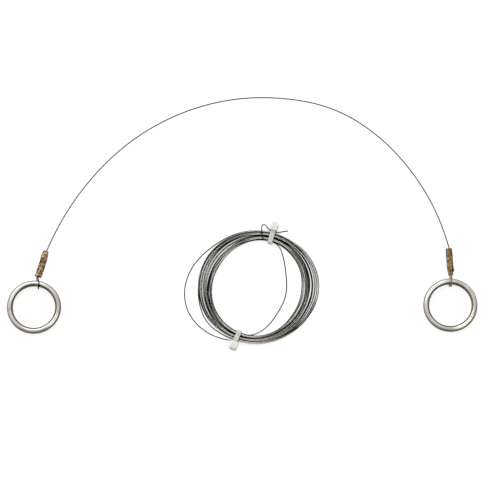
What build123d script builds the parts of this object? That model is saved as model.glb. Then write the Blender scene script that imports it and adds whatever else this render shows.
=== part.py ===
from build123d import *
import math
import os

# A wire clay cutter, laid out flat with its coil of spare wire. Millimetres and degrees.
# The floor is Z = 0. X runs from the left ring to the right ring, and Y runs from the rings
# towards the top of the wire's arc. A heading is an angle on the floor, clockwise from +Y.

os.makedirs("parts", exist_ok=True)

# Wire
wire_diameter = 0.8
cord_sides = 5
coil_sides = 3
floor_gap = 0.04

# Pull rings
ring_bore = 32.0
rod_diameter = 4.5
rod_sides = 12
ring_joint_gap = 0.12
ring_centre_x = 157.5
left_ring_y = -16.3
right_ring_y = -14.8
left_ring_heading = 10.5
right_ring_heading = 1.0
left_joint_angle = 107.0
right_joint_angle = 240.5

# Wire eyes round the rods
ring_play = 0.35
eye_play = 0.35
left_eye_reach = 6.1
right_eye_reach = 5.5
left_eye_heading = -8.3
right_eye_heading = 2.2
eye_rise_angle = 68.0
left_wraps = 1
right_wraps = 2
left_wrap_offsets = (0.49, -0.49)
right_wrap_offsets = (0.98, -0.88)

# Crimped ferrules
ferrule_length = 20.9
left_ferrule_heading = 16.0
right_ferrule_heading = -3.3
sheet_thickness = 0.4
lap_gap = 0.06
cavity_half_width = 1.95
cavity_half_height = 0.98
wire_spacing = 0.98
left_exit_offset = 0.6
right_exit_offset = 0.45
left_mouth_offset = 0.51
right_mouth_offset = 0.49
flap_lift = 0.85
outline_step = 24.0
outline_start = -36.0
outline_steps = 18
flap_start = 300.0

# Stations along a ferrule from the wire's exit to the mouth by the ring: the place, the width of
# the left and the right ferrule, the height, and the lift of the left and the right lap's edge
ferrule_station_shares = [
    (0.00, 0.92, 0.92, 1.00, 0.30, 0.00),
    (0.13, 0.94, 0.98, 0.88, 0.10, 0.00),
    (0.30, 1.00, 1.04, 0.56, 0.00, 0.00),
    (0.46, 0.90, 0.98, 0.80, 0.10, 0.00),
    (0.63, 1.02, 1.00, 0.56, 0.00, 0.10),
    (0.85, 0.92, 0.88, 0.84, 0.35, 1.00),
    (0.90, 0.92, 0.72, 0.92, 0.20, 0.10),
    (1.00, 0.94, 0.68, 1.00, 0.10, 0.00),
]
crimp_place_shares = (0.30, 0.63)
tail_end_share = 0.12

# Route of the free wire between the ferrules: corners on the floor, from left to right
arc_corners = [
    (-139.3, 50.6),
    (-116.4, 85.0),
    (-87.2, 114.4),
    (-51.9, 135.9),
    (-12.3, 148.3),
    (28.6, 150.1),
    (69.7, 142.0),
    (104.3, 120.1),
    (132.4, 88.1),
    (151.5, 52.2),
]
arc_radius_share = 0.45

# Coil of spare wire: layer 1 winds outwards, layer 2 winds back inwards
coil_centre_x = 11.4
coil_centre_y = -1.1
coil_pitches = 5
layer_pitch = 1.24
fan_wander_share = 0.25
fan_wander_turn = 137.0
coil_start_angle = 6.0
coil_start_run = 1.0
top_tie_angle = 74.7
left_fan_angle = 161.3
bottom_tie_angle = 248.3
right_fan_angle = 357.8
top_tie_inner = 38.3
top_tie_pitch = 1.28
left_fan_inner = 32.3
left_fan_pitch = 2.8
bottom_tie_inner = 37.8
bottom_tie_pitch = 1.36
right_fan_inner = 33.8
right_fan_pitch = 2.68
outer_loop_radius = 56.2
outer_loop_angle = 188.9
inner_loop_radius = 22.0
inner_loop_angle = 359.0

# Free tail of the coil, at the top tie: along the bundle, and outwards from its inner turn.
# It crosses over the turns, hooks round and goes back through the tie.
tail_level_angle = 3.0
tail_foot = (5.9, -0.9)
tail_foot_turn = -25.0
tail_leg = (8.3, 7.5)
tail_leg_turn = -6.0
tail_apex = (7.0, 11.0)
tail_apex_lift = 0.3
tail_return = (3.9, 7.3)
tail_return_turn = 120.0
tail_past_head = (-3.7, 7.1)
tail_past_head_turn = 84.0
tail_end = (-10.4, 10.9)
tail_end_turn = 60.0
tail_end_run = 1.0

# Cable ties
strap_width = 3.6
strap_thickness = 1.1
strap_bend = 0.6
inner_strap_gap = 0.6
head_gap = 0.15
wire_to_strap_gap = 0.05
head_length = 5.9
head_width = 6.1
head_cover = 0.85
head_corner = 0.9
slot_side_gap = 0.25
slot_top_gap = 0.25
strap_stub = 0.8
pawl_length = 1.8
pawl_width = 2.4
slot_overrun = 1.0

# Spacing and least separation of the points that measure the coil's gap to itself
gap_point_spacing = 0.5
gap_least_travel = 8.0


def unit(angle):
    """A direction on the floor, anticlockwise from +X."""
    return Vector(math.cos(math.radians(angle)), math.sin(math.radians(angle)), 0)


def towards(heading):
    """A direction on the floor, clockwise from +Y."""
    return unit(90 - heading)


def right_of(heading):
    """The direction to the right of a heading."""
    return unit(-heading)


UP = Vector(0, 0, 1)


def equal_area_radius(diameter, sides):
    """The corner radius of a regular polygon with the area of a circle."""
    return diameter / 2 * math.sqrt(2 * math.pi / (sides * math.sin(2 * math.pi / sides)))


wire_reach = equal_area_radius(wire_diameter, cord_sides)
coil_reach = equal_area_radius(wire_diameter, coil_sides)
rod_reach = equal_area_radius(rod_diameter, rod_sides)
ring_radius = (ring_bore + rod_diameter) / 2


def biarc(p0, t0, p1, t1):
    """Two arcs that leave p0 along t0 and meet p1 along t1, or a line where both are straight."""
    span = p1 - p0
    along = span.dot(t0 + t1)
    bend = 2 * (1 - t0.dot(t1))
    if bend < 1e-10:
        if span.normalized().dot(t0) > 1 - 1e-10:
            return [Edge.make_line(p0, p1)]
        reach = span.dot(span) / (2 * along)
    else:
        reach = (math.sqrt(along * along + bend * span.dot(span)) - along) / bend
    knee0 = p0 + t0 * reach
    knee1 = p1 - t1 * reach
    middle = (knee0 + knee1) * 0.5
    across = (knee1 - knee0).normalized()
    return [
        Edge.make_tangent_arc(p0, t0, middle),
        Edge.make_tangent_arc(middle, across, p1),
    ]


def path_through(stations):
    """One smooth path through (point, direction) pairs."""
    edges = []
    for (p0, t0), (p1, t1) in zip(stations, stations[1:]):
        edges += biarc(p0, t0, p1, t1)
    return Wire(edges)


def tube(path, sides):
    """The wire along a path, with a polygonal section that has a flat side down."""
    forward = path % 0
    start = Plane(path @ 0, x_dir=forward.cross(UP).normalized(), z_dir=forward)
    corner = equal_area_radius(wire_diameter, sides)
    section = start * RegularPolygon(corner, sides, rotation=90 + 180 / sides)
    solid = sweep(section, path=path)
    wanted = section.area * path.length
    print("volume", round(solid.volume, 2), "section times length", round(wanted, 2))
    return solid


def write(solid, name):
    """Writes one node."""
    solid.label = name
    export_step(solid, os.path.join("parts", name + ".step"))


# Each ring lies on the floor at its far side. The lower strand of its eye holds its rod up.
rod_height = rod_reach + ring_play + 2 * wire_reach + floor_gap
ring_tilt = math.degrees(math.asin((rod_height - rod_reach - floor_gap) / (2 * ring_radius)))


class Ring:
    """A pull ring: a rod bent round until its ends meet, and the place where the eye holds it."""

    def __init__(self, centre_x, centre_y, heading, joint_angle):
        self.heading = heading
        self.joint_angle = joint_angle
        rise = math.sin(math.radians(ring_tilt))
        level = math.cos(math.radians(ring_tilt))
        self.out = towards(heading) * level + UP * rise
        self.axis = UP * level - towards(heading) * rise
        self.centre = Vector(centre_x, centre_y, rod_height - ring_radius * rise)
        self.eye_point = self.centre + self.out * ring_radius

    def solid(self):
        joint_width_angle = math.degrees(ring_joint_gap / ring_radius)
        rod = RegularPolygon(rod_reach, rod_sides, rotation=180 / rod_sides)
        bent = revolve(Plane.XZ * Pos(ring_radius, 0) * rod, Axis.Z, 360 - joint_width_angle)
        place = Plane(self.centre, x_dir=self.out, z_dir=self.axis)
        return place.location * Rot(0, 0, self.joint_angle) * bent


# The ferrule's rolled sheet grows outwards by one lap step in each full turn, so the middle of
# its wires lies a quarter of that step below the middle of its section.
lap_step = sheet_thickness + lap_gap
wire_drop = lap_step / 4
ferrule_axis_height = cavity_half_height + wire_drop + sheet_thickness + floor_gap


class Ferrule:
    """The place of one ferrule, from its mouth at the ring to the wire's exit."""

    def __init__(self, ring, eye_heading, eye_reach, heading):
        self.forward = towards(heading)
        self.right = right_of(heading)
        mouth = ring.eye_point + towards(eye_heading) * eye_reach
        self.mouth = Vector(mouth.X, mouth.Y, ferrule_axis_height)
        self.exit = self.mouth + self.forward * ferrule_length

    def axis_point(self, place_share):
        """A point of the axis, place_share of the way from the exit to the mouth."""
        return self.exit - self.forward * (ferrule_length * place_share)

    def wire_point(self, place_share, offset):
        """A point of a wire that runs offset to the right of the axis."""
        return self.axis_point(place_share) + self.right * offset - UP * wire_drop


def rolled_outline(half_width, half_height, lift):
    """The section of a sheet rolled more than once round, with its outer edge lifted."""
    inner = []
    outer = []
    last = outline_start + outline_steps * outline_step
    for k in range(outline_steps + 1):
        angle = outline_start + k * outline_step
        growth = lap_step * (angle - 180) / 360
        lifted = lift * max(0, (angle - flap_start) / (last - flap_start)) ** 2
        x = math.cos(math.radians(angle))
        y = math.sin(math.radians(angle))
        inner_x = half_width + growth + lifted
        inner_y = half_height + growth + lifted
        inner.append((inner_x * x, inner_y * y))
        outer.append(((inner_x + sheet_thickness) * x, (inner_y + sheet_thickness) * y))
    return outer + inner[::-1]


def ferrule_solid(ferrule, side):
    """A rolled sleeve, lofted through its crimps. side is 0 for the left one and 1 for the right."""
    sections = []
    for row in ferrule_station_shares:
        place, height = row[0], row[3]
        width, lift = row[1 + side], row[4 + side]
        plane = Plane(
            ferrule.axis_point(place),
            x_dir=ferrule.right,
            z_dir=ferrule.forward * -1,
        )
        outline = rolled_outline(
            cavity_half_width * width,
            cavity_half_height * height,
            flap_lift * lift,
        )
        sections.append(plane * Polygon(*outline, align=None))
    return loft(sections, ruled=True)


def eye_loop(ring, eye_heading, wraps, offsets):
    """Stations of the wire round the rod: over it, down its far side and under it."""
    loop_radius = rod_reach + ring_play + eye_play + wire_reach
    heading = (ring.heading + eye_heading) / 2
    forward = towards(heading)
    centre = ring.eye_point + (UP - forward) * eye_play
    angles = [360 * wrap + a for wrap in range(wraps) for a in (eye_rise_angle, 180, 270)]
    start, end = offsets
    advance = (end - start) / (angles[-1] - angles[0])
    stations = []
    for angle in angles:
        turn = math.radians(angle)
        spoke = forward * math.cos(turn) + UP * math.sin(turn)
        way = UP * math.cos(turn) - forward * math.sin(turn)
        side = right_of(heading) * (start + advance * (angle - angles[0]))
        drift = right_of(heading) * math.degrees(advance)
        stations.append((centre + spoke * loop_radius + side, (way * loop_radius + drift).normalized()))
    return stations


def eye_stations(ferrule, loop, exit_offset, mouth_offset, leave):
    """The wire from the ferrule's exit, through both crimps, round the rod and back inside."""
    first, last = crimp_place_shares
    half = wire_spacing / 2
    back = ferrule.forward * -1
    leg_in = [
        (ferrule.wire_point(0, exit_offset), leave * -1),
        (ferrule.wire_point(first, half), back),
        (ferrule.wire_point(last, half), back),
        (ferrule.wire_point(1, mouth_offset), back),
    ]
    leg_out = [
        (ferrule.wire_point(1, -mouth_offset), ferrule.forward),
        (ferrule.wire_point(last, -half), ferrule.forward),
        (ferrule.wire_point(tail_end_share, -half), ferrule.forward),
    ]
    return leg_in + loop + leg_out


left_ring = Ring(-ring_centre_x, left_ring_y, left_ring_heading, left_joint_angle)
right_ring = Ring(ring_centre_x, right_ring_y, right_ring_heading, right_joint_angle)
left_ferrule = Ferrule(left_ring, left_eye_heading, left_eye_reach, left_ferrule_heading)
right_ferrule = Ferrule(right_ring, right_eye_heading, right_eye_reach, right_ferrule_heading)


# Free wire: straight runs joined by arcs as large as the runs allow, on the floor
wire_height = wire_reach + floor_gap
route = [left_ferrule.wire_point(0, left_exit_offset)]
route += [Vector(x, y, wire_height) for x, y in arc_corners]
route += [right_ferrule.wire_point(0, right_exit_offset)]


def corner_radii(points):
    """The largest useful radius at each corner of a route."""
    radii = []
    for before, corner, after in zip(points, points[1:], points[2:]):
        run_in = corner - before
        run_out = after - corner
        turn = math.radians(run_in.get_angle(run_out))
        shorter = min(run_in.length, run_out.length)
        radii.append(arc_radius_share * shorter / math.tan(turn / 2))
    return radii


arc_radii = corner_radii(route)
arc_path = FilletPolyline(*route, radius=arc_radii)
left_leave = (route[1] - route[0]).normalized()
right_leave = (route[-2] - route[-1]).normalized()
print("free wire: length", round(arc_path.length, 1), "radii", [round(r, 1) for r in arc_radii])


# Coil
coil_centre = Vector(coil_centre_x, coil_centre_y, 0)
floor_wire_height = wire_diameter / 2 + floor_gap
tie_wire_height = strap_thickness + wire_to_strap_gap + wire_diameter / 2
layer_2_height = tie_wire_height + layer_pitch
over_height = layer_2_height + layer_pitch
quarter_angles = (top_tie_angle, left_fan_angle, bottom_tie_angle, right_fan_angle)
quarter_inner = (top_tie_inner, left_fan_inner, bottom_tie_inner, right_fan_inner)
quarter_pitch = (top_tie_pitch, left_fan_pitch, bottom_tie_pitch, right_fan_pitch)
quarter_height = (tie_wire_height, floor_wire_height, tie_wire_height, floor_wire_height)


def polar(angle, radius, height, climb=0):
    """A station of the coil: a point, and the direction of a turn that grows by climb a radian."""
    out = unit(angle)
    way = UP.cross(out)
    return coil_centre + out * radius + UP * height, (way * radius + out * climb).normalized()


def coil_station(quarter, place, layer, growth):
    """A turn at a quarter of the coil, place pitches out from the innermost turn."""
    side = quarter % 4
    if side in (1, 3):
        place += fan_wander_share * math.sin(math.radians(fan_wander_turn * quarter))
    radius = quarter_inner[side] + quarter_pitch[side] * place
    height = quarter_height[side] + layer_pitch * layer
    climb = growth * quarter_pitch[side] / (2 * math.pi)
    return polar(quarter_angles[side], radius, height, climb)


def coil_stations():
    """The coil from its hidden start to the top tie, where its tail leaves the bundle."""
    start_place = 0.5 - coil_start_angle / 360
    start_radius = bottom_tie_inner + bottom_tie_pitch * start_place
    climb = bottom_tie_pitch / (2 * math.pi)
    stations = [polar(bottom_tie_angle - coil_start_angle, start_radius, tie_wire_height, climb)]
    reversal = 4 * coil_pitches
    for quarter in range(2, reversal + 1):
        stations.append(coil_station(quarter, quarter / 4, 0, 1))
    half_climbed = floor_wire_height + layer_pitch / 2
    stations.append(polar(outer_loop_angle, outer_loop_radius, half_climbed))
    for quarter in range(reversal + 2, 2 * reversal + 3):
        place = coil_pitches - (quarter - reversal - 2) / 4
        stations.append(coil_station(quarter, place, 1, -1))
    stations.append(polar(inner_loop_angle, inner_loop_radius, floor_wire_height))
    stations.append(coil_station(0, -0.5, 1, 0))
    last_radius = top_tie_inner - 0.5 * top_tie_pitch
    stations.append(polar(top_tie_angle + tail_level_angle, last_radius, layer_2_height))
    return stations


def tail_station(place, height, turn):
    """A station of the tail. A turn of 0 points outwards, and 90 points back along the bundle."""
    along, out = place
    point = unit(top_tie_angle) * (top_tie_inner + out) + unit(top_tie_angle + 90) * along
    return coil_centre + point + UP * height, unit(top_tie_angle - turn)


tail_place = top_tie_pitch * (coil_pitches + 0.5)


def tail_stations():
    """The tail over the bundle, round its hook, back through the tie and down to the floor."""
    return [
        tail_station(tail_foot, over_height, tail_foot_turn),
        tail_station(tail_leg, over_height, tail_leg_turn),
        tail_station(tail_apex, layer_2_height + tail_apex_lift, 90),
        tail_station(tail_return, layer_2_height, tail_return_turn),
        tail_station((0, tail_place), layer_2_height, 90),
        tail_station(tail_past_head, layer_2_height, tail_past_head_turn),
        tail_station(tail_end, floor_wire_height, tail_end_turn),
    ]


def coil_path():
    stations = coil_stations() + tail_stations()
    first_point, first_way = stations[0]
    last_point, last_way = stations[-1]
    stations.insert(0, (first_point - first_way * coil_start_run, first_way))
    stations.append((last_point + last_way * tail_end_run, last_way))
    return path_through(stations)


def least_gap(path):
    """The least gap of the wire to itself, measured on points that lie apart along it."""
    count = int(path.length / gap_point_spacing)
    points = [path @ (k / count) for k in range(count + 1)]
    cell = 3 * wire_diameter
    grid = {}
    for k, point in enumerate(points):
        grid.setdefault((int(point.X // cell), int(point.Y // cell)), []).append(k)
    least = path.length
    for k, point in enumerate(points):
        column, row = int(point.X // cell), int(point.Y // cell)
        near = [(column + i, row + j) for i in (-1, 0, 1) for j in (-1, 0, 1)]
        for other in (other for place in near for other in grid.get(place, [])):
            if other - k > gap_least_travel / gap_point_spacing:
                least = min(least, (points[other] - point).length)
    return least - wire_diameter


def tie_solid(angle, inner_radius, outer_radius):
    """A cable tie round the bundle. The strap runs back through its head, outside the coil."""
    plane = Plane(coil_centre, x_dir=unit(angle), z_dir=unit(angle - 90))
    inner = inner_radius - coil_reach - inner_strap_gap
    outer = outer_radius + coil_reach + head_gap
    roof = layer_2_height + coil_reach + wire_to_strap_gap
    strap_top = roof + strap_thickness
    slot_top = strap_top + slot_top_gap
    head_top = slot_top + head_cover
    head_end = outer + head_length
    strap_end = head_end + strap_stub
    band = Polyline(
        (outer, 0),
        (inner - strap_thickness, 0),
        (inner - strap_thickness, strap_top),
        (strap_end, strap_top),
        (strap_end, roof),
        (inner, roof),
        (inner, strap_thickness),
        (outer, strap_thickness),
        close=True,
    )
    profile = make_face(band)
    profile = fillet(profile.vertices().group_by(Axis.X)[0], strap_bend + strap_thickness)
    inner_corners = [v for v in profile.vertices() if abs(v.X - inner) < wire_to_strap_gap]
    profile = fillet(inner_corners, strap_bend)
    strap = extrude(plane * profile, strap_width / 2, both=True)
    middle = (outer + head_end) / 2
    head_face = plane * Pos(middle, head_top / 2) * Rectangle(head_length, head_top)
    head = extrude(head_face, head_width / 2, both=True)
    head = fillet(head.edges().filter_by(Axis.Z), head_corner)
    slot_face = plane * Pos(middle, (roof + slot_top) / 2)
    slot_face = slot_face * Rectangle(head_length + 2 * slot_overrun, slot_top - roof)
    slot = extrude(slot_face, strap_width / 2 + slot_side_gap, both=True)
    pawl_outline = Polyline(
        (head_end, slot_top),
        (head_end - pawl_length, slot_top),
        (head_end, strap_top),
        close=True,
    )
    pawl = extrude(plane * make_face(pawl_outline), pawl_width / 2, both=True)
    return head - slot + strap + pawl


# Build
write(left_ring.solid(), "left_ring")
write(right_ring.solid(), "right_ring")
write(ferrule_solid(left_ferrule, 0), "left_ferrule")
write(ferrule_solid(right_ferrule, 1), "right_ferrule")

left_loop = eye_loop(left_ring, left_eye_heading, left_wraps, left_wrap_offsets)
left_eye = eye_stations(left_ferrule, left_loop, left_exit_offset, left_mouth_offset, left_leave)
write(tube(path_through(left_eye), cord_sides), "left_eye")

right_loop = eye_loop(right_ring, right_eye_heading, right_wraps, right_wrap_offsets)
right_eye = eye_stations(
    right_ferrule, right_loop, right_exit_offset, right_mouth_offset, right_leave
)
write(tube(path_through(right_eye), cord_sides), "right_eye")

write(tube(arc_path.wire(), cord_sides), "cutting_wire")

spare_path = coil_path()
write(tube(spare_path, coil_sides), "spare_wire")
print("spare wire: length", round(spare_path.length, 1), "least gap to itself", least_gap(spare_path))

top_inner = top_tie_inner - 0.5 * top_tie_pitch
write(tie_solid(top_tie_angle, top_inner, top_tie_inner + tail_place), "top_tie")
bottom_outer = bottom_tie_inner + coil_pitches * bottom_tie_pitch
write(tie_solid(bottom_tie_angle, bottom_tie_inner, bottom_outer), "bottom_tie")

for name, ring in (("left", left_ring), ("right", right_ring)):
    print(name, "hinge point", ring.eye_point, "axis", right_of(ring.heading), "centre", ring.centre)
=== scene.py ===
import math

import bmesh
import bpy
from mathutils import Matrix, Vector


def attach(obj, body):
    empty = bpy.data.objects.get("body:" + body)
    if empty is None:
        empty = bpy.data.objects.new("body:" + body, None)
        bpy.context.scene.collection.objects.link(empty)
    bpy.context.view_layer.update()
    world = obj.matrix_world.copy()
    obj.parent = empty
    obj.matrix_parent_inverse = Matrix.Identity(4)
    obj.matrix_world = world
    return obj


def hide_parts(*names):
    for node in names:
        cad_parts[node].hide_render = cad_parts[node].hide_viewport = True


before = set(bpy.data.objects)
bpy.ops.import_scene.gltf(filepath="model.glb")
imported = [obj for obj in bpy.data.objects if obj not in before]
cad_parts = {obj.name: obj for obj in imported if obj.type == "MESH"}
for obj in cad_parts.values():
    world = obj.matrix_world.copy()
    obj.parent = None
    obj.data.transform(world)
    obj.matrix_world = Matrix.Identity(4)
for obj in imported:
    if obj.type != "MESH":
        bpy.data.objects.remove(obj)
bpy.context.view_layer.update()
scene = bpy.context.scene
MM = 0.001
UP = Vector((0, 0, 1))


# Camera

view_target = Vector((0.0059, 0.02899, 0))
view_elevation = math.radians(76)
view_distance = 3.0
view_lens = 284.2
view_sensor = 36.0

camera_data = bpy.data.cameras.new("camera")
camera_data.lens = view_lens
camera_data.sensor_width = view_sensor
camera = bpy.data.objects.new("camera", camera_data)
back = Vector((0, -math.cos(view_elevation), math.sin(view_elevation)))
camera.location = view_target + back * view_distance
camera.rotation_euler = (math.pi / 2 - view_elevation, 0, 0)
scene.collection.objects.link(camera)
scene.camera = camera


# Directions, in the words of the part: a heading is clockwise from +Y


def unit(angle):
    """A direction on the floor, anticlockwise from +X."""
    return Vector((math.cos(math.radians(angle)), math.sin(math.radians(angle)), 0))


def towards(heading):
    """A direction on the floor, clockwise from +Y."""
    return unit(90 - heading)


def right_of(heading):
    """The direction to the right of a heading."""
    return unit(-heading)


# Sizes of the part, in millimetres

floor_gap = 0.04
ring_radius = 18.25
rod_radius = 2.22
rod_reach = 2.3025
wire_reach = 0.4598
ring_play = 0.35
eye_play = 0.35
ferrule_length = 20.9
sheet = 0.4
lap_step = 0.46
cavity_half_width = 1.95
cavity_half_height = 0.98
wire_spacing = 0.98
rod_height = rod_reach + ring_play + 2 * wire_reach + floor_gap
ring_rise = (rod_height - rod_reach - floor_gap) / (2 * ring_radius)
ring_level = math.sqrt(1 - ring_rise**2)
wire_drop = lap_step / 4
ferrule_axis_height = cavity_half_height + wire_drop + sheet + floor_gap


class Side:
    """One end of the cutter: its ring, the point where the eye holds it, and its ferrule."""

    def __init__(self, name, centre, heading, joint, eye, ferrule, offsets, wraps, wrap_offsets):
        self.name = name
        self.joint = joint
        self.heading = heading
        self.out = towards(heading) * ring_level + UP * ring_rise
        self.axis = UP * ring_level - towards(heading) * ring_rise
        self.centre = Vector((*centre, rod_height - ring_radius * ring_rise))
        self.eye_point = self.centre + self.out * ring_radius
        self.eye_heading, eye_reach = eye
        self.forward = towards(ferrule)
        self.right = right_of(ferrule)
        mouth = self.eye_point + towards(self.eye_heading) * eye_reach
        self.mouth = Vector((mouth.x, mouth.y, ferrule_axis_height))
        self.exit = self.mouth + self.forward * ferrule_length
        self.exit_offset, self.mouth_offset = offsets
        self.wraps = wraps
        self.wrap_offsets = wrap_offsets

    def axis_point(self, share):
        """A point on the ferrule's axis, this share of its length back from the wire's exit."""
        return self.exit - self.forward * (ferrule_length * share)

    def wire_point(self, share, offset):
        """A point beside the axis, at the height of the wires in the ferrule."""
        return self.axis_point(share) + self.right * offset - UP * wire_drop


left = Side(
    "left", (-157.5, -16.3), 10.5, 107.0, (-8.3, 6.1), 16.0, (0.6, 0.51), 1, (0.49, -0.49)
)
right = Side(
    "right", (157.5, -14.8), 1.0, 240.5, (2.2, 5.5), -3.3, (0.45, 0.49), 2, (0.98, -0.88)
)


# Helpers for meshes and curves


def add_mesh(name, points, faces, smooth_angle=None, attributes=None):
    """A mesh object from points in millimetres, with values at them for its material."""
    mesh = bpy.data.meshes.new(name)
    mesh.from_pydata([p * MM for p in points], [], faces)
    mesh.validate()
    mesh.polygons.foreach_set("use_smooth", [True] * len(mesh.polygons))
    if smooth_angle is not None:
        mesh.set_sharp_from_angle(angle=math.radians(smooth_angle))
    mesh.update()
    for title, values in (attributes or {}).items():
        layer = mesh.attributes.new(title, "FLOAT", "POINT")
        layer.data.foreach_set("value", values)
    piece = bpy.data.objects.new(name, mesh)
    scene.collection.objects.link(piece)
    return piece


def spline_points(controls, steps):
    """Points read from the smooth spline that has these control points, in millimetres."""
    data = bpy.data.curves.new("route", "CURVE")
    data.dimensions = "3D"
    data.resolution_u = steps
    spline = data.splines.new("NURBS")
    spline.points.add(len(controls) - 1)
    for slot, point in zip(spline.points, controls):
        slot.co = (*(point * MM), 1)
    spline.order_u = 3
    spline.use_endpoint_u = True
    holder = bpy.data.objects.new("route", data)
    scene.collection.objects.link(holder)
    bpy.context.view_layer.update()
    line = bpy.data.meshes.new_from_object(holder)
    points = [v.co / MM for v in line.vertices]
    bpy.data.objects.remove(holder)
    bpy.data.meshes.remove(line)
    bpy.data.curves.remove(data)
    return points


def loft(rings, closed_ends=True):
    """Points and faces between rings that have as many points each."""
    count = len(rings[0])
    last = (len(rings) - 1) * count
    points = [p for ring in rings for p in ring]
    faces = []
    for a in range(0, last, count):
        b = a + count
        for j in range(count):
            n = (j + 1) % count
            faces.append((a + j, a + n, b + n, b + j))
    if closed_ends:
        faces.append(tuple(range(count))[::-1])
        faces.append(tuple(range(last, last + count)))
    return points, faces


# Three strands twisted into one wire: its section, as shares of its reach

strand_section = (0.60, 0.88, 1.0, 0.88)
strand_count = 3
strand_reach = 0.448
wire_lay = 4.8


def twisted_wire(name, path, shine):
    """The wire along a path, its strands winding once round in each lay.

    The last argument is how bright its steel is painted, from 0 to 1: one number, or one for each
    point;
    on the coil it paints light and shade, and elsewhere one flat tone. The points also keep their
    crown,
    0 in the grooves and 1 on the strands, which the material uses to paint shade in the grooves, and
    their run along the wire in metres.
    """
    sides = strand_section * strand_count
    valley = min(strand_section)
    side = None
    travelled = 0
    rings = []
    crowns = []
    runs = []
    tones_and_painted_light = []
    last = len(path) - 1
    for k, point in enumerate(path):
        way = (path[min(k + 1, last)] - path[max(k - 1, 0)]).normalized()
        if side is None:
            side = way.cross(UP).normalized()
        side = (side - way * side.dot(way)).normalized()
        across = way.cross(side)
        travelled += (point - path[max(k - 1, 0)]).length
        turn = 2 * math.pi * travelled / wire_lay
        # Each point's steel brightness is painted: painted light and shade on the coil, one flat tone
        # on the other wires
        painted_brightness = shine[k] if isinstance(shine, list) else shine
        ring = []
        for j, share in enumerate(sides):
            angle = turn + 2 * math.pi * j / len(sides)
            reach = share * strand_reach
            ring.append(point + (side * math.cos(angle) + across * math.sin(angle)) * reach)
            crowns.append((share - valley) / (1 - valley))
            runs.append(travelled * MM)
            tones_and_painted_light.append(painted_brightness)
        rings.append(ring)
    attributes = {"crown": crowns, "run": runs, "shine": tones_and_painted_light}
    return add_mesh(name, *loft(rings), attributes=attributes)


# Free wire between the ferrules: the part's own route

arc_steps = 64
floor_height = wire_reach + floor_gap
arc_corners = (
    (-139.3, 50.6),
    (-116.4, 85.0),
    (-87.2, 114.4),
    (-51.9, 135.9),
    (-12.3, 148.3),
    (28.6, 150.1),
    (69.7, 142.0),
    (104.3, 120.1),
    (132.4, 88.1),
    (151.5, 52.2),
)
arc_route = [left.wire_point(0, left.exit_offset)]
arc_route += [Vector((x, y, floor_height)) for x, y in arc_corners]
arc_route += [right.wire_point(0, right.exit_offset)]
arc_path = spline_points(arc_route, arc_steps)
cutting_wire = twisted_wire("cutting_wire_strands", arc_path, 0.0)


# Coil of spare wire: one layer winds outwards and the next winds back in, tied at two places

coil_centre = Vector((11.4, -1.1, 0))
coil_step = 20.0
coil_steps = 21
top_tie_angle = 74.7
bottom_tie_angle = 248.3
tie_half_angle = 6
tie_ease_angle = 44
turns_out = 10
turns_in = 9

# Radius of the band's inner edge and the band's width, once in each step of the angle
band_step = 30
band_inner = (33.8, 36.0, 38.0, 38.2, 35.2, 33.4, 34.7, 36.4, 37.8, 38.2, 35.6, 33.5)
band_width = (14.0, 11.6, 7.5, 7.2, 11.2, 13.5, 11.2, 9.3, 6.9, 5.6, 7.9, 11.6)

# Heights of the two layers, in the ties and where the band lies on the floor
tie_height = 1.55
band_height = 0.45
layer_rise = 0.92
tie_layer_rise = 1.12
layer_2_height = tie_height + tie_layer_rise
over_height = layer_2_height + 1.2

# Waves across the band: their reach as a share of its width, radians per turn and start
wander_waves = ((0.038, 2.3, 1.1), (0.030, 5.3, 0.4))

# A finer wave: its share in the lower layer, what the upper layer adds, and its rate and start
fine_shares = (0.016, 0.022)
fine_wave = (11.9, 2.0)

# In the upper layer, a ripple twice round each turn and a lift with its own rate and start
ripple_reach = 0.5
ripple_shift = 2.1
lift_reach = 0.12
lift_wave = (4.1, 0.9)

# How sharply the waves fade at the band's edges
edge_power = 6

# The outermost lower turn strays outwards near one angle
stray_angle = 214
stray_spread = 20
stray_reach = 2.2

# Which turns lie high in the ties and get a painted highlight, and how far the others lie below them
# in painted shade
tie_pattern = (1.0, 1.0, 0.0, 0.9, 1.0, 0.0, 0.0, 1.0, 1.0, 0.1)
tie_dip = 0.35
# Painted light on the coil: the level of the upper turns in the fans, a painted glint near the ties,
# and the tail's flat dull tone
fan_painted_light = 0.72
tail_tone = 0.05
tie_painted_glint = 0.1


def smooth(share):
    """Eases a share between 0 and 1."""
    share = max(0.0, min(1.0, share))
    return share * share * (3 - 2 * share)


def band_at(table, angle):
    """A value of the band's table at an angle, eased between its entries."""
    place = angle / band_step % len(table)
    first = int(place)
    before = table[first]
    after = table[(first + 1) % len(table)]
    return before + (after - before) * smooth(place - first)


def near_tie(angle):
    """1 in the ties, and 0 where the band lies on the floor."""
    gaps = [abs((angle - tie + 180) % 360 - 180) for tie in (top_tie_angle, bottom_tie_angle)]
    return 1 - smooth((min(gaps) - tie_half_angle) / tie_ease_angle)


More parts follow.
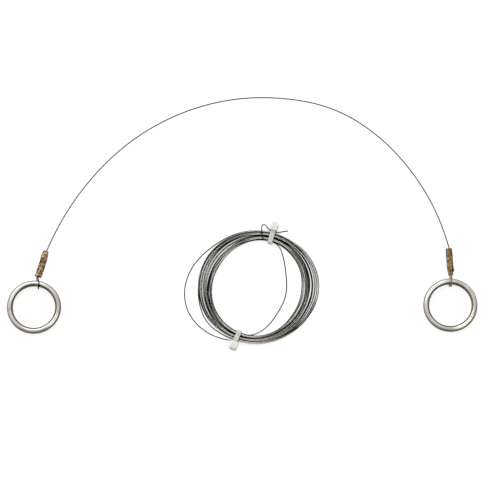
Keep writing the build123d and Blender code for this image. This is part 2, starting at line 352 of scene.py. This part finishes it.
def coil_point(angle, place, layer):
    """A point of a turn, place of the way out across the band."""
    turn = angle / 360
    tied = near_tie(angle)
    loose = 1 - tied
    wander = sum(reach * math.sin(rate * turn + start) for reach, rate, start in wander_waves)
    rate, start = fine_wave
    wander += (fine_shares[0] + fine_shares[1] * layer) * math.sin(rate * turn + start)
    ripple = ripple_reach * math.sin(math.radians(2 * angle) + ripple_shift * layer)
    inside_edges = 1 - place**edge_power - (1 - place) ** edge_power
    shift = wander * loose * inside_edges
    radius = band_at(band_inner, angle) + band_at(band_width, angle) * (place + shift)
    radius += ripple * loose * layer * inside_edges
    if layer == 0 and turn > turns_out - 1:
        radius += stray_reach * math.exp(-(((angle % 360 - stray_angle) / stray_spread) ** 2))
    rate, start = lift_wave
    lift = lift_reach + lift_reach * math.sin(rate * turn + start)
    height = band_height + (layer_rise + lift) * layer
    height += (tie_height + tie_layer_rise * layer - height) * tied
    height -= tie_dip * tied * layer * (1 - tie_pattern[int(turn) % len(tie_pattern)])
    return loop_point(angle, radius, height)


def loop_point(angle, radius, height):
    """A point round the coil's centre."""
    return coil_centre + unit(angle) * radius + UP * height


def tail_point(along, out, height):
    """A point near the top tie: along the band, and outwards from its inner turn."""
    place = unit(top_tie_angle) * (tail_radius + out) + unit(top_tie_angle + 90) * along
    return coil_centre + place + UP * height


# Loose turns: their angle, radius and height
outer_loop = (
    (94, 45.4, 1.35),
    (110, 45.8, 0.8),
    (125, 46.3, 0.5),
    (139, 47.6, 0.45),
    (152, 50.2, 0.45),
    (165, 53.0, 0.45),
    (179, 55.4, 0.45),
    (194, 56.3, 0.45),
    (208, 54.7, 0.5),
    (222, 51.6, 0.9),
    (235, 48.2, 1.8),
)
inner_loop = (
    (258, 38.0, 2.6),
    (268, 36.2, 2.1),
    (279, 32.6, 1.4),
    (291, 28.6, 0.7),
    (305, 25.3, 0.45),
    (320, 23.3, 0.45),
    (336, 22.5, 0.45),
    (352, 22.3, 0.45),
    (368, 22.6, 0.45),
    (384, 24.0, 0.45),
    (398, 26.9, 0.6),
    (410, 31.0, 1.2),
    (419, 35.0, 2.0),
    (426, 37.3, 2.5),
)

# Tail over the bundle, round its hook and back through the top tie: along, out and height
tail_radius = 38.3
tail = (
    (0.0, -0.55, layer_2_height),
    (2.0, -0.6, layer_2_height),
    (3.8, -0.8, 3.1),
    (5.5, -0.6, over_height),
    (6.9, 0.9, over_height),
    (7.9, 3.3, over_height),
    (8.7, 6.0, over_height),
    (9.2, 8.4, 3.6),
    (8.8, 10.3, 3.2),
    (7.1, 10.7, 3.1),
    (5.3, 9.5, 3.0),
    (3.9, 8.2, 2.9),
    (2.5, 7.3, 2.7),
    (0.0, 7.0, layer_2_height),
    (-2.2, 7.0, layer_2_height),
    (-4.0, 7.5, 2.2),
    (-6.0, 8.8, 1.2),
    (-8.2, 10.2, 0.6),
    (-10.9, 11.2, 0.45),
)


def coil_route():
    """Control points of the whole coil, from its hidden start to the end of its tail."""
    first = bottom_tie_angle - tie_half_angle
    middle = top_tie_angle + 360 * turns_out
    last = bottom_tie_angle + 360 * (turns_out + turns_in)
    again = bottom_tie_angle + 360 * turns_out
    route = []
    steps = round((middle - first) / coil_step)
    for k in range(steps + 1):
        angle = first + (middle - first) * k / steps
        route.append(coil_point(angle, k / steps, 0))
    route += [loop_point(*row) for row in outer_loop]
    steps = round((last - again) / coil_step)
    for k in range(steps + 1):
        angle = again + (last - again) * k / steps
        route.append(coil_point(angle, 1 - k / steps, 1))
    route += [loop_point(*row) for row in inner_loop]
    route += [tail_point(*row) for row in tail]
    return route


spare_route = coil_route()
spare_path = spline_points(spare_route, coil_steps)


def coil_painted_light():
    """Painted light: a painted highlight on the upper turns, painted shade on the turns below and the
    loose turns, and a flat dull tone on the tail.
    """
    values = []
    whole = 0
    last_angle = bottom_tie_angle
    tail_share = len(tail) / len(spare_route)
    for k, point in enumerate(spare_path):
        out = point - coil_centre
        angle = math.degrees(math.atan2(out.y, out.x)) % 360
        if angle < last_angle - 180:
            whole += 1
        last_angle = angle
        tied = near_tie(angle)
        low = band_height + (tie_height - band_height) * tied
        rise = layer_rise + (tie_layer_rise - layer_rise) * tied
        in_ties = tie_pattern[whole % len(tie_pattern)]
        # Painted shade towards the bottom of each layer and a painted highlight towards its top
        value = smooth((point.z - low) / rise + tie_painted_glint * tied)
        value *= fan_painted_light + (in_ties - fan_painted_light) * tied
        if k > len(spare_path) * (1 - tail_share):
            value = tail_tone
        values.append(value)
    return values


spare_wire = twisted_wire("spare_wire_strands", spare_path, coil_painted_light())


# Eyes: the same wire through the ferrule, round the ring's rod and back

eye_steps = 12
eye_dip = 0.1
eye_first_angle = 67.5
eye_last_angle = 270
eye_angle_step = 22.5

# Places along the ferrule, as shares of its length from the wire's exit
lead_share = 0.1
crimp_shares = (0.30, 0.63)
mouth_share = 0.9
past_mouth_share = 1.08
end_share = 0.12


def eye_route(end):
    """Control points of one end of the wire."""
    first, last = crimp_shares
    half = wire_spacing / 2
    loop_radius = rod_reach + ring_play + eye_play + wire_reach
    heading = (end.heading + end.eye_heading) / 2
    forward = towards(heading)
    sideways = right_of(heading)
    centre = end.eye_point + (UP - forward) * eye_play
    begin, stop = end.wrap_offsets
    last_angle = eye_last_angle + 360 * (end.wraps - 1)
    steps = round((last_angle - eye_first_angle) / eye_angle_step)
    corner = loop_radius / math.cos(math.radians(eye_angle_step / 2))
    route = [
        end.wire_point(0, end.exit_offset),
        end.wire_point(lead_share, end.exit_offset),
        end.wire_point(first, half),
        end.wire_point(last, half),
        end.wire_point(mouth_share, end.mouth_offset),
        end.wire_point(past_mouth_share, end.mouth_offset),
    ]
    for k in range(steps + 1):
        angle = math.radians(eye_first_angle + k * eye_angle_step)
        spoke = forward * math.cos(angle) + UP * math.sin(angle)
        shift = sideways * (begin + (stop - begin) * k / steps)
        route.append(centre + spoke * corner + shift)
    route += [
        end.wire_point(past_mouth_share, -end.mouth_offset) - UP * eye_dip,
        end.wire_point(mouth_share, -end.mouth_offset),
        end.wire_point(last, -half),
        end.wire_point(end_share, -half),
    ]
    return route


# Each eye's steel is painted one flat brightness
for end, eye_tone in ((left, 0.0), (right, 0.75)):
    eye_path = spline_points(eye_route(end), eye_steps)
    eye = twisted_wire(end.name + "_eye_strands", eye_path, eye_tone)
    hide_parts(end.name + "_eye")
    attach(eye, "cutter")

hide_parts("cutting_wire")
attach(cutting_wire, "cutter")
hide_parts("spare_wire")
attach(spare_wire, "spare")


# Pull rings


def ring_piece(end):
    """A round rod bent into a ring. Its ends are eased, and meet in a butt joint."""
    joint_gap = 0.14
    ease = (0.0, 0.02, 0.06, 0.14, 0.3)
    ease_shares = (0.93, 0.965, 0.985, 0.996, 1.0)
    around = 2 * math.pi * ring_radius - joint_gap
    places = list(zip(ease, ease_shares))
    steps = 180
    inner_run = around - 2 * ease[-1]
    places += [(ease[-1] + inner_run * k / steps, 1.0) for k in range(1, steps)]
    places += [(around - e, s) for e, s in zip(ease[::-1], ease_shares[::-1])]
    across = end.axis.cross(end.out)
    sides = 48
    faces_up = []
    outwards = []
    rings = []
    for run, share in places:
        angle = math.radians(end.joint) + (run + joint_gap / 2) / ring_radius
        spoke = end.out * math.cos(angle) + across * math.sin(angle)
        ring = []
        for j in range(sides):
            turn = 2 * math.pi * j / sides
            reach = rod_radius * share
            out = spoke * math.cos(turn) + end.axis * math.sin(turn)
            ring.append(end.centre + spoke * ring_radius + out * reach)
            faces_up.append(math.sin(turn))
            outwards.append(0.5 + 0.5 * math.cos(turn))
        rings.append(ring)
    attributes = {"face_up": faces_up, "outward": outwards}
    return add_mesh(end.name + "_pull_ring", *loft(rings), 50, attributes)


pull_rings = []
for end in (left, right):
    piece = ring_piece(end)
    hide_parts(end.name + "_ring")
    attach(piece, end.name + "_ring")
    pull_rings.append(piece)


# Ferrules: a sheet rolled round the wires, lofted through its crimps

# A row holds a place, shares of the cavity's half width (left, right) and half height, and
# shares of the flap's lift (left, right)
ferrule_stations = (
    (0.00, 0.78, 0.94, 1.00, 0.30, 0.00),
    (0.13, 0.98, 1.00, 0.88, 0.10, 0.00),
    (0.30, 1.10, 1.06, 0.56, 0.00, 0.00),
    (0.46, 1.04, 1.00, 0.80, 0.10, 0.00),
    (0.63, 1.12, 1.02, 0.56, 0.00, 0.10),
    (0.85, 1.04, 0.90, 0.84, 0.35, 1.35),
    (0.90, 1.02, 0.72, 0.92, 0.20, 0.10),
    (1.00, 1.04, 0.68, 1.00, 0.10, 0.00),
)
ferrule_bow = 0.3
flap_lift = 0.85
flap_start = 300.0
outline_start = -36.0
outline_end = 396.0
dent_depth = 0.05
fine_dent_depth = 0.03
edge_thinning = 0.25


def station_at(place):
    """Width, height and lift of a ferrule at a place, eased between its stations."""
    for before, after in zip(ferrule_stations, ferrule_stations[1:]):
        if place <= after[0]:
            share = smooth((place - before[0]) / (after[0] - before[0]))
            return [a + (b - a) * share for a, b in zip(before, after)]
    return list(ferrule_stations[-1])


def ferrule_piece(end, side):
    """A rolled sheet, from the wire's exit to the mouth. side is 0 on the left and 1 on the right."""
    steps = 90
    spans = 72
    faces_up = []
    rings = []
    for s in range(spans + 1):
        place = s / spans
        row = station_at(place)
        half_width = cavity_half_width * row[1 + side]
        half_height = cavity_half_height * row[3]
        lift = flap_lift * row[4 + side]
        centre = end.axis_point(place)
        if side == 0:
            centre = centre + end.right * (ferrule_bow * math.sin(math.pi * place))
        inner = []
        outer = []
        ups = []
        for k in range(steps + 1):
            angle = outline_start + (outline_end - outline_start) * k / steps
            growth = lap_step * (angle - 180) / 360
            flap = max(0, (angle - flap_start) / (outline_end - flap_start)) ** 2
            x = math.cos(math.radians(angle))
            y = math.sin(math.radians(angle))
            dent = dent_depth * math.sin(9 * place * math.pi + 3 * y)
            dent *= math.sin(3 * math.radians(angle))
            dent += fine_dent_depth * math.sin(23 * place + 5 * x)
            wide = half_width + growth + lift * flap
            high = half_height + growth + lift * flap
            ups.append(y)
            thickness = sheet * (1 - edge_thinning * (k in (0, steps)))
            for side_points, grown in ((inner, 0), (outer, thickness)):
                reach = end.right * ((wide + grown) * x) + UP * ((high + grown) * y)
                side_points.append(centre + reach - reach.normalized() * abs(dent))
        rings.append(outer + inner[::-1])
        faces_up += ups + ups[::-1]
    points, faces = loft(rings, closed_ends=False)
    count = len(rings[0])
    last = spans * count
    for k in range(steps):
        a, b = k, k + 1
        c, d = count - 1 - b, count - 1 - a
        faces.append((a, d, c, b))
        faces.append((last + a, last + b, last + c, last + d))
    return add_mesh(end.name + "_crimp_sleeve", points, faces, 40, {"face_up": faces_up})


sleeves = []
for end, side in ((left, 0), (right, 1)):
    piece = ferrule_piece(end, side)
    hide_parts(end.name + "_ferrule")
    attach(piece, "cutter")
    sleeves.append(piece)


# Cable ties: a strap round the band, with its end drawn back through the head

strap_thickness = 1.1
strap_bend = 0.6
strap_roof = 3.46
slot_top = 4.81
head_top = 5.66
head_length = 5.9
head_half = 3.05
strap_half = 1.8
strap_stub = 0.8
strap_overrun = 0.5
slot_play = 0.25
slot_corner = 0.12
head_corner = 1.0
pawl_length = 1.8
pawl_half = 1.2
pawl_inset = 0.35

# The strap's section, with a raised rail along each side, as (sideways, height) points
strap_section = (
    (-1.8, 0.3),
    (-1.8, 0.8),
    (-1.62, 1.02),
    (-1.3, 1.1),
    (-0.95, 1.1),
    (-0.82, 0.98),
    (0.82, 0.98),
    (0.95, 1.1),
    (1.3, 1.1),
    (1.62, 1.02),
    (1.8, 0.8),
    (1.8, 0.3),
    (1.62, 0.08),
    (1.3, 0.0),
    (-1.3, 0.0),
    (-1.62, 0.08),
)


def rounded(half, low, high, radius):
    """A rectangle with rounded corners, as (sideways, height) points."""
    points = []
    corners = (
        (half - radius, high - radius, 0),
        (radius - half, high - radius, 90),
        (radius - half, low + radius, 180),
        (half - radius, low + radius, 270),
    )
    for x, y, start in corners:
        for k in range(9):
            angle = math.radians(start + 90 * k / 8)
            points.append((x + radius * math.cos(angle), y + radius * math.sin(angle)))
    return points


def strap_stations(inner, outer):
    """The cavity's edge that the strap lies on, as (out, height) points and directions."""
    stub_end = outer + head_length + strap_stub
    top_run = stub_end - inner - strap_bend
    stations = [((stub_end - top_run * k / 30, strap_roof), (0, 1)) for k in range(30)]
    for middle, start in ((strap_roof - strap_bend, 90), (strap_thickness + strap_bend, 180)):
        for k in range(11):
            angle = math.radians(start + 9 * k)
            out, up = math.cos(angle), math.sin(angle)
            place = (inner + strap_bend + strap_bend * out, middle + strap_bend * up)
            stations.append((place, (out, up)))
    stations.append(((outer + strap_overrun, strap_thickness), (0, -1)))
    return stations


def tie_piece(name, angle, inner, outer):
    """One cable tie, out along an angle from the coil's centre."""
    along = unit(angle)
    sideways = unit(angle - 90)

    def place(out, side, height):
        return coil_centre + along * out + sideways * side + UP * height

    parts = []
    strap = []
    for (out, height), (lean, rise) in strap_stations(inner, outer):
        strap.append([place(out + lean * n, u, height + rise * n) for u, n in strap_section])
    parts.append(loft(strap))
    outside = []
    inside = []
    eases = ((0.0, 0.5), (0.1, 0.27), (0.3, 0.1), (0.6, 0.0))
    ends = [(outer + run, ease) for run, ease in eases]
    ends += [(outer + head_length - run, ease) for run, ease in eases[::-1]]
    for out, ease in ends:
        block = rounded(head_half - ease, ease, head_top - ease, head_corner)
        slot_half = strap_half + slot_play + ease / 3
        slot = rounded(slot_half, strap_roof, slot_top + ease / 3, slot_corner)
        outside.append([place(out, *point) for point in block])
        inside.append([place(out, *point) for point in slot])
    parts.append(loft(outside, closed_ends=False))
    parts.append(loft(inside, closed_ends=False))
    for edge in (0, -1):
        parts.append(loft([outside[edge], inside[edge]], closed_ends=False))
    tip = outer + head_length - pawl_inset
    wedge = ((tip, slot_top), (tip - pawl_length, slot_top), (tip, strap_roof + strap_thickness))
    pawl = []
    for side in (-pawl_half, pawl_half):
        pawl.append([place(out, side, height) for out, height in wedge])
    parts.append(loft(pawl))
    points = []
    faces = []
    straps = []
    for part_points, part_faces in parts:
        start = len(points)
        straps += [float(not points)] * len(part_points)
        points += part_points
        faces += [tuple(start + index for index in face) for face in part_faces]
    piece = add_mesh(name, points, faces, 35, {"strap": straps})
    mesh = bmesh.new()
    mesh.from_mesh(piece.data)
    bmesh.ops.remove_doubles(mesh, verts=mesh.verts, dist=1e-7)
    bmesh.ops.recalc_face_normals(mesh, faces=mesh.faces)
    mesh.to_mesh(piece.data)
    mesh.free()
    return piece


ties = []
for name, angle, inner, outer in (
    ("top", top_tie_angle, 36.44, 46.11),
    ("bottom", bottom_tie_angle, 36.58, 45.37),
):
    piece = tie_piece(name + "_cable_tie", angle, inner, outer)
    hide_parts(name + "_tie")
    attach(piece, "spare")
    ties.append(piece)


# Materials


class Nodes:
    """Builds one material's nodes."""

    def __init__(self, name):
        self.material = bpy.data.materials.new(name)
        self.material.use_nodes = True
        self.tree = self.material.node_tree
        self.tree.nodes.clear()
        self.output = self.add("ShaderNodeOutputMaterial")
        self.shader = self.add("ShaderNodeBsdfPrincipled")
        self.link(self.shader.outputs[0], self.output.inputs["Surface"])
        self.place = self.add("ShaderNodeTexCoord").outputs["Object"]

    def add(self, kind, **values):
        node = self.tree.nodes.new(kind)
        for name, value in values.items():
            setattr(node, name, value)
        return node

    def link(self, a, b):
        self.tree.links.new(a, b)

    def set(self, **values):
        for name, value in values.items():
            self.shader.inputs[name.replace("_", " ")].default_value = value

    def noise(self, scale, detail=3.0, roughness=0.55):
        node = self.add("ShaderNodeTexNoise")
        node.inputs["Scale"].default_value = scale
        node.inputs["Detail"].default_value = detail
        node.inputs["Roughness"].default_value = roughness
        self.link(self.place, node.inputs["Vector"])
        return node.outputs["Fac"]

    def attribute(self, title):
        """A value that the mesh keeps at its points."""
        return self.add("ShaderNodeAttribute", attribute_name=title).outputs["Fac"]

    def ramp(self, source, stops):
        node = self.add("ShaderNodeValToRGB")
        ramp = node.color_ramp
        while len(ramp.elements) < len(stops):
            ramp.elements.new(0.5)
        for element, (place, color) in zip(ramp.elements, stops):
            element.position = place
            element.color = (*color, 1) if len(color) == 3 else color
        self.link(source, node.inputs["Fac"])
        return node.outputs["Color"]

    def mix(self, kind, first, second):
        node = self.add("ShaderNodeMix", data_type="RGBA", blend_type=kind)
        node.inputs["Factor"].default_value = 1.0
        self.link(first, node.inputs["A"])
        self.link(second, node.inputs["B"])
        return node.outputs["Result"]

    def times(self, first, second):
        return self.mix("MULTIPLY", first, second)

    def bump(self, source, strength, distance):
        node = self.add("ShaderNodeBump")
        node.inputs["Strength"].default_value = strength
        node.inputs["Distance"].default_value = distance
        self.link(source, node.inputs["Height"])
        self.link(node.outputs["Normal"], self.shader.inputs["Normal"])


def grey(value):
    return (value, value, value)


def wire_material():
    """Steel strands with painted shade in the grooves between them, a painted highlight on the upper
    turns and painted shade on the lower ones, and some stretches duller than others.
    """
    nodes = Nodes("twisted_steel")
    crown = nodes.attribute("crown")
    shine = nodes.attribute("shine")
    # Painted highlight on the brightest upper turns; it also widens their bright crowns
    painted_highlight = nodes.ramp(shine, ((0.75, grey(0.0)), (0.95, grey(1.0))))
    widened = nodes.add("ShaderNodeMath", operation="MULTIPLY_ADD")
    widened.inputs[1].default_value = 0.22
    nodes.link(painted_highlight, widened.inputs[0])
    nodes.link(crown, widened.inputs[2])
    # Painted shade in the grooves between the strands, lightening up to their crowns
    steel = nodes.ramp(
        widened.outputs[0],
        ((0.40, (0.006, 0.006, 0.005)), (0.62, (0.20, 0.187, 0.165)), (0.84, (0.95, 0.90, 0.82))),
    )
    run = nodes.attribute("run")
    stretch = nodes.add("ShaderNodeTexNoise", noise_dimensions="1D")
    stretch.inputs["Scale"].default_value = 14.0
    stretch.inputs["Detail"].default_value = 2.0
    nodes.link(run, stretch.inputs["W"])
    patch = nodes.ramp(stretch.outputs["Fac"], ((0.4, grey(0.10)), (0.55, grey(1.0))))
    # Painted light and shade from each point's painted brightness
    painted_brightness = nodes.ramp(shine, ((0.0, grey(0.012)), (0.72, grey(0.66)), (0.95, grey(1.0))))
    patch = nodes.mix("LIGHTEN", patch, painted_highlight)
    color = nodes.times(nodes.times(steel, patch), painted_brightness)
    nodes.link(color, nodes.shader.inputs["Base Color"])
    rough = nodes.ramp(nodes.noise(900.0), ((0.3, grey(0.26)), (0.7, grey(0.42))))
    nodes.link(rough, nodes.shader.inputs["Roughness"])
    nodes.set(Metallic=1.0, Specular_Tint=(0.3, 0.3, 0.3, 1))
    nodes.bump(nodes.noise(9000.0, 2.0), 0.25, 0.00003)
    return nodes.material


def ring_material():
    """Polished steel, with painted dark reflections along the rod's upper sides, a painted highlight
    on its top and a painted reflection line along its inside.
    """
    nodes = Nodes("polished_steel")
    cloud = nodes.noise(120.0, 3.0)
    clean = nodes.ramp(cloud, ((0.3, (0.52, 0.49, 0.44)), (0.7, (0.68, 0.65, 0.60))))
    face_up = nodes.attribute("face_up")
    # Painted reflections: dark bands on the rod's upper sides and a bright top
    painted_dark_reflection = nodes.ramp(
        face_up,
        (
            (0.08, grey(0.62)),
            (0.20, (0.09, 0.095, 0.085)),
            (0.50, (0.11, 0.115, 0.105)),
            (0.66, grey(0.55)),
            (0.80, grey(1.0)),
        ),
    )
    outward = nodes.attribute("outward")
    # Painted reflection: a dark line along the rod's inside
    line = nodes.ramp(
        outward,
        ((0.13, grey(1.0)), (0.19, grey(0.2)), (0.26, grey(0.2)), (0.33, grey(1.0))),
    )
    color = nodes.times(nodes.times(clean, painted_dark_reflection), line)
    nodes.link(color, nodes.shader.inputs["Base Color"])
    rough = nodes.ramp(nodes.noise(700.0, 5.0), ((0.35, grey(0.10)), (0.75, grey(0.22))))
    nodes.link(rough, nodes.shader.inputs["Roughness"])
    nodes.set(Metallic=1.0, Specular_Tint=(0.15, 0.15, 0.15, 1))
    nodes.bump(nodes.noise(1500.0, 6.0, 0.7), 0.12, 0.00004)
    return nodes.material


def ferrule_material(name, dark, light, lit):
    """Dull brass, mottled, with painted shade along the rounded sides and underneath.

    dark and light are where its noise turns dark and light, and lit its light colour; on the left
    sleeve that is a pale cream which paints highlights among the mottling.
    """
    nodes = Nodes(name)
    cloud = nodes.noise(640.0, 5.0, 0.7)
    color = nodes.ramp(
        cloud,
        (
            (dark, (0.035, 0.022, 0.011)),
            (0.47, (0.18, 0.115, 0.05)),
            (0.55, (0.31, 0.21, 0.10)),
            (light, lit),
        ),
    )
    face_up = nodes.attribute("face_up")
    # Painted shade: darker on the sides and underneath, full colour on top
    painted_side_shade = nodes.ramp(face_up, ((0.0, grey(0.10)), (0.34, grey(0.25)), (0.62, grey(1.0))))
    nodes.link(nodes.times(color, painted_side_shade), nodes.shader.inputs["Base Color"])
    rough = nodes.ramp(nodes.noise(1100.0, 4.0), ((0.3, grey(0.38)), (0.7, grey(0.6))))
    nodes.link(rough, nodes.shader.inputs["Roughness"])
    nodes.set(Metallic=0.75, Specular_Tint=(0.3, 0.3, 0.3, 1))
    nodes.bump(nodes.noise(1600.0, 5.0, 0.6), 0.5, 0.0001)
    return nodes.material


def tie_material():
    """Translucent nylon, with painted shade in the thin strap for the dark wires seen through it, so
    it is darker than the head.
    """
    nodes = Nodes("natural_nylon")
    cloud = nodes.noise(220.0, 3.0)
    color = nodes.ramp(cloud, ((0.3, (0.95, 0.92, 0.79)), (0.7, (0.98, 0.96, 0.86))))
    strap = nodes.attribute("strap")
    # Painted shade: the whole strap is darkened for the dark wires seen through it
    strap_painted_shade = nodes.ramp(strap, ((0.0, grey(1.0)), (1.0, (0.62, 0.64, 0.66))))
    nodes.link(nodes.times(color, strap_painted_shade), nodes.shader.inputs["Base Color"])
    rough = nodes.ramp(nodes.noise(900.0), ((0.3, grey(0.34)), (0.7, grey(0.46))))
    nodes.link(rough, nodes.shader.inputs["Roughness"])
    nodes.set(Subsurface_Weight=0.8, Subsurface_Scale=0.003, IOR=1.53)
    nodes.shader.inputs["Subsurface Radius"].default_value = (1.0, 1.0, 0.9)
    nodes.bump(nodes.noise(1300.0, 2.0), 0.12, 0.00004)
    return nodes.material


steel = wire_material()
for name in ("cutting_wire_strands", "spare_wire_strands", "left_eye_strands", "right_eye_strands"):
    bpy.data.objects[name].data.materials.append(steel)

polished = ring_material()
for piece in pull_rings:
    piece.data.materials.append(polished)

# The left sleeve has darker stains, and its pale cream spots are painted highlights
stained_and_glinting = ferrule_material("stained_brass", 0.42, 0.62, (0.85, 0.74, 0.52))
dull = ferrule_material("dull_brass", 0.36, 0.68, (0.62, 0.48, 0.28))
for piece, brass in zip(sleeves, (stained_and_glinting, dull)):
    piece.data.materials.append(brass)

nylon = tie_material()
for piece in ties:
    piece.data.materials.append(nylon)


# Floor, lamps and surroundings

floor_half = 4.0
floor_shade = 0.42
floor_glow = 0.7


def floor_material():
    """White for the camera and in reflections, and it keeps the object's shadow."""
    material = bpy.data.materials.new("white_floor")
    material.use_nodes = True
    tree = material.node_tree
    tree.nodes.clear()
    output = tree.nodes.new("ShaderNodeOutputMaterial")
    diffuse = tree.nodes.new("ShaderNodeBsdfDiffuse")
    diffuse.inputs["Color"].default_value = (*grey(floor_shade), 1)
    glow = tree.nodes.new("ShaderNodeEmission")
    rays = tree.nodes.new("ShaderNodeLightPath")
    seen = tree.nodes.new("ShaderNodeMath")
    seen.operation = "MAXIMUM"
    seen_too = tree.nodes.new("ShaderNodeMath")
    seen_too.operation = "MAXIMUM"
    lift = tree.nodes.new("ShaderNodeMath")
    lift.operation = "MULTIPLY"
    lift.inputs[1].default_value = floor_glow
    total = tree.nodes.new("ShaderNodeAddShader")
    links = tree.links
    links.new(rays.outputs["Is Camera Ray"], seen.inputs[0])
    links.new(rays.outputs["Is Glossy Ray"], seen.inputs[1])
    links.new(seen.outputs[0], seen_too.inputs[0])
    links.new(rays.outputs["Is Transmission Ray"], seen_too.inputs[1])
    links.new(seen_too.outputs[0], lift.inputs[0])
    links.new(lift.outputs[0], glow.inputs["Strength"])
    links.new(diffuse.outputs[0], total.inputs[0])
    links.new(glow.outputs[0], total.inputs[1])
    links.new(total.outputs[0], output.inputs["Surface"])
    return material


floor_mesh = bpy.data.meshes.new("floor")
floor_mesh.from_pydata(
    [
        (-floor_half, -floor_half, 0),
        (floor_half, -floor_half, 0),
        (floor_half, floor_half, 0),
        (-floor_half, floor_half, 0),
    ],
    [],
    [(0, 1, 2, 3)],
)
floor = bpy.data.objects.new("floor", floor_mesh)
scene.collection.objects.link(floor)
floor_mesh.materials.append(floor_material())


def add_lamp(name, place, aim, size, power):
    """A soft rectangular lamp, aimed at a point."""
    data = bpy.data.lights.new(name, "AREA")
    data.shape = "RECTANGLE"
    data.size, data.size_y = size
    data.energy = power
    lamp = bpy.data.objects.new(name, data)
    lamp.location = place
    lamp.rotation_euler = (Vector(aim) - Vector(place)).to_track_quat("-Z", "Y").to_euler()
    scene.collection.objects.link(lamp)


add_lamp("key_lamp", (-0.5, 0.9, 1.4), (0, 0, 0), (1.2, 0.8), 7.2)
add_lamp("fill_lamp", (0.8, -0.5, 1.3), (0, 0, 0), (0.8, 0.8), 3.8)


def surroundings():
    """A white room that is darker towards the viewer."""
    world = bpy.data.worlds.new("room")
    scene.world = world
    world.use_nodes = True
    tree = world.node_tree
    tree.nodes.clear()
    output = tree.nodes.new("ShaderNodeOutputWorld")
    background = tree.nodes.new("ShaderNodeBackground")
    place = tree.nodes.new("ShaderNodeTexCoord")
    lean = tree.nodes.new("ShaderNodeVectorMath")
    lean.operation = "DOT_PRODUCT"
    lean.inputs[1].default_value = Vector((-0.25, 0.75, 0.6)).normalized()
    ramp = tree.nodes.new("ShaderNodeValToRGB")
    stops = ((0.0, 0.22), (0.40, 0.28), (0.56, 0.50), (0.72, 0.92), (1.0, 1.0))
    while len(ramp.color_ramp.elements) < len(stops):
        ramp.color_ramp.elements.new(0.5)
    for element, (position, value) in zip(ramp.color_ramp.elements, stops):
        element.position = position
        element.color = (value, value, value * 0.98, 1)
    half = tree.nodes.new("ShaderNodeMapRange")
    half.inputs["From Min"].default_value = -1
    half.inputs["From Max"].default_value = 1
    links = tree.links
    links.new(place.outputs["Generated"], lean.inputs[0])
    links.new(lean.outputs["Value"], half.inputs["Value"])
    links.new(half.outputs["Result"], ramp.inputs["Fac"])
    links.new(ramp.outputs["Color"], background.inputs["Color"])
    links.new(background.outputs["Background"], output.inputs["Surface"])


surroundings()
scene.view_settings.view_transform = "Standard"
